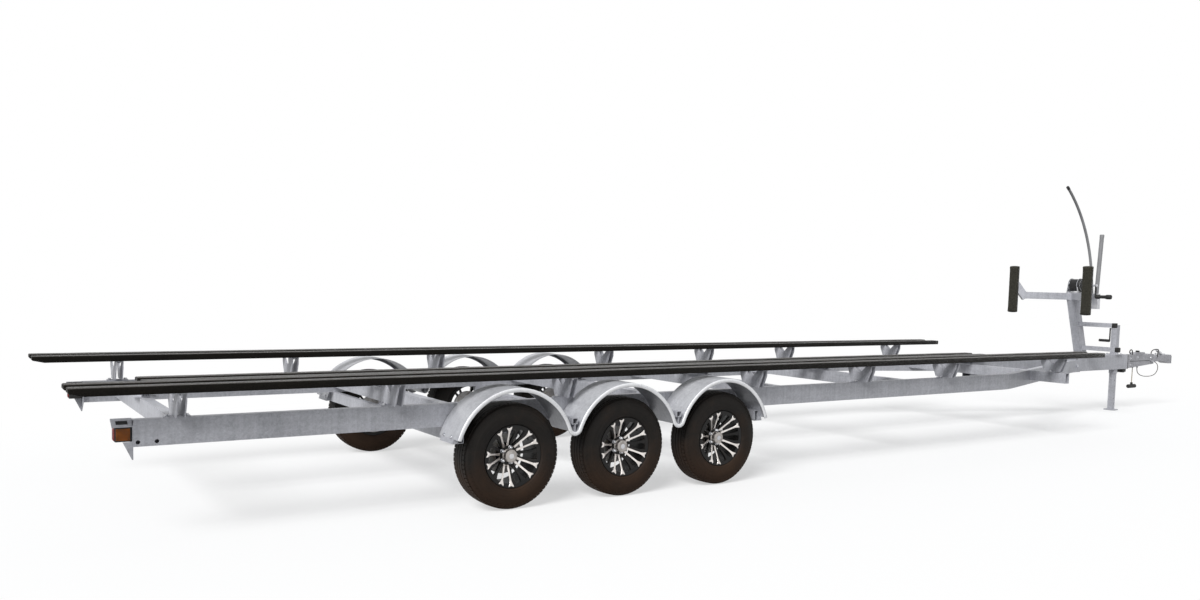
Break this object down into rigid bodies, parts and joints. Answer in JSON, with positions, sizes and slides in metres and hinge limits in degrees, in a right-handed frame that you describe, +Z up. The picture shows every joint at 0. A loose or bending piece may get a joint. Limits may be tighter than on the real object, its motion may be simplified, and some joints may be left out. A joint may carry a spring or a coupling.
{
  "type": "tri-axle boat trailer",
  "caption": "Long galvanised boat trailer with carpeted bunk boards, arched fenders, winch post with bow stop, steps and poles, drop-leg jack and surge coupler.",
  "frame": {"origin": "on the ground at the middle of the overall length and width", "axes": "+X forward to the coupler, +Y left, +Z up"},
  "size_m": [12.9999, 2.54, 2.6484],
  "materials": {
    "galvanised_steel": "hot-dip galvanised, pale blue-grey with soft spangle",
    "fender_metal": "bright rolled sheet with a pale lip",
    "bunk_carpet": "black needle-punched carpet over boards",
    "pole_plastic": "dull grey tube",
    "zinc_plate": "bright zinc plate",
    "winch_strap": "black webbing wound on a zinc drum",
    "coupler_metal": "zinc-plated forging",
    "lamp_lens": "amber and red moulded lens",
    "black_rubber": "black sheath",
    "tyre_rubber": "black road tyre",
    "alloy_wheel": "gloss black with machined faces",
    "brake_iron": "machined brake disc"
  },
  "bodies": {
    "frame": {"rail_left": "galvanised_steel", "rail_right": "galvanised_steel", "tongue": "galvanised_steel", "crossmembers": "galvanised_steel", "fender_beams": "galvanised_steel", "fender_brackets": "galvanised_steel", "axle_rear": "galvanised_steel", "axle_middle": "galvanised_steel", "axle_front": "galvanised_steel", "bunk_brackets": "galvanised_steel", "centre_brackets": "galvanised_steel", "lamp_brackets": "galvanised_steel", "winch_post": "galvanised_steel", "bow_stop_arms": "galvanised_steel", "steps": "galvanised_steel", "pole_socket": "galvanised_steel", "actuator": "galvanised_steel", "jack_tube": "galvanised_steel", "fender_left": "fender_metal", "fender_right": "fender_metal", "bunk_left": "bunk_carpet", "bunk_right": "bunk_carpet", "bunk_centre": "bunk_carpet", "bow_pads": "bunk_carpet", "pole_curved": "pole_plastic", "pole_straight": "pole_plastic", "winch_frame": "zinc_plate", "jack_crank": "zinc_plate", "coupler_latch": "zinc_plate", "cable_hook": "zinc_plate", "coupler": "coupler_metal", "tail_lamps": "lamp_lens", "safety_cable": "black_rubber", "wiring_lead": "black_rubber", "wiring_plug": "black_rubber"},
    "wheelset_right_rear": {"tyre_right_rear": "tyre_rubber", "wheel_right_rear": "alloy_wheel", "hub_right_rear": "brake_iron"},
    "wheelset_left_rear": {"tyre_left_rear": "tyre_rubber", "wheel_left_rear": "alloy_wheel", "hub_left_rear": "brake_iron"},
    "wheelset_right_middle": {"tyre_right_middle": "tyre_rubber", "wheel_right_middle": "alloy_wheel", "hub_right_middle": "brake_iron"},
    "wheelset_left_middle": {"tyre_left_middle": "tyre_rubber", "wheel_left_middle": "alloy_wheel", "hub_left_middle": "brake_iron"},
    "wheelset_right_front": {"tyre_right_front": "tyre_rubber", "wheel_right_front": "alloy_wheel", "hub_right_front": "brake_iron"},
    "wheelset_left_front": {"tyre_left_front": "tyre_rubber", "wheel_left_front": "alloy_wheel", "hub_left_front": "brake_iron"},
    "jack_leg": {"jack_leg": "galvanised_steel"},
    "winch_reel": {"winch_reel": "winch_strap", "winch_crank": "zinc_plate"}
  },
  "joints": [
    {"name": "turn_right_rear", "type": "hinge", "parent": "frame", "child": "wheelset_right_rear", "pos_m": [-4.093, -1.1375, 0.3315], "axis": [0, 1, 0], "continuous": true},
    {"name": "turn_left_rear", "type": "hinge", "parent": "frame", "child": "wheelset_left_rear", "pos_m": [-4.093, 1.1375, 0.3315], "axis": [0, 1, 0], "continuous": true},
    {"name": "turn_right_middle", "type": "hinge", "parent": "frame", "child": "wheelset_right_middle", "pos_m": [-3.25, -1.1375, 0.3315], "axis": [0, 1, 0], "continuous": true},
    {"name": "turn_left_middle", "type": "hinge", "parent": "frame", "child": "wheelset_left_middle", "pos_m": [-3.25, 1.1375, 0.3315], "axis": [0, 1, 0], "continuous": true},
    {"name": "turn_right_front", "type": "hinge", "parent": "frame", "child": "wheelset_right_front", "pos_m": [-2.407, -1.1375, 0.3315], "axis": [0, 1, 0], "continuous": true},
    {"name": "turn_left_front", "type": "hinge", "parent": "frame", "child": "wheelset_left_front", "pos_m": [-2.407, 1.1375, 0.3315], "axis": [0, 1, 0], "continuous": true},
    {"name": "jack_slide", "type": "slide", "parent": "frame", "child": "jack_leg", "axis": [0, 0, 1], "range_m": [0, 0.35]},
    {"name": "winch_turn", "type": "hinge", "parent": "frame", "child": "winch_reel", "pos_m": [4.17499, 0, 1.5335], "axis": [0, 1, 0], "continuous": true}
  ]
}
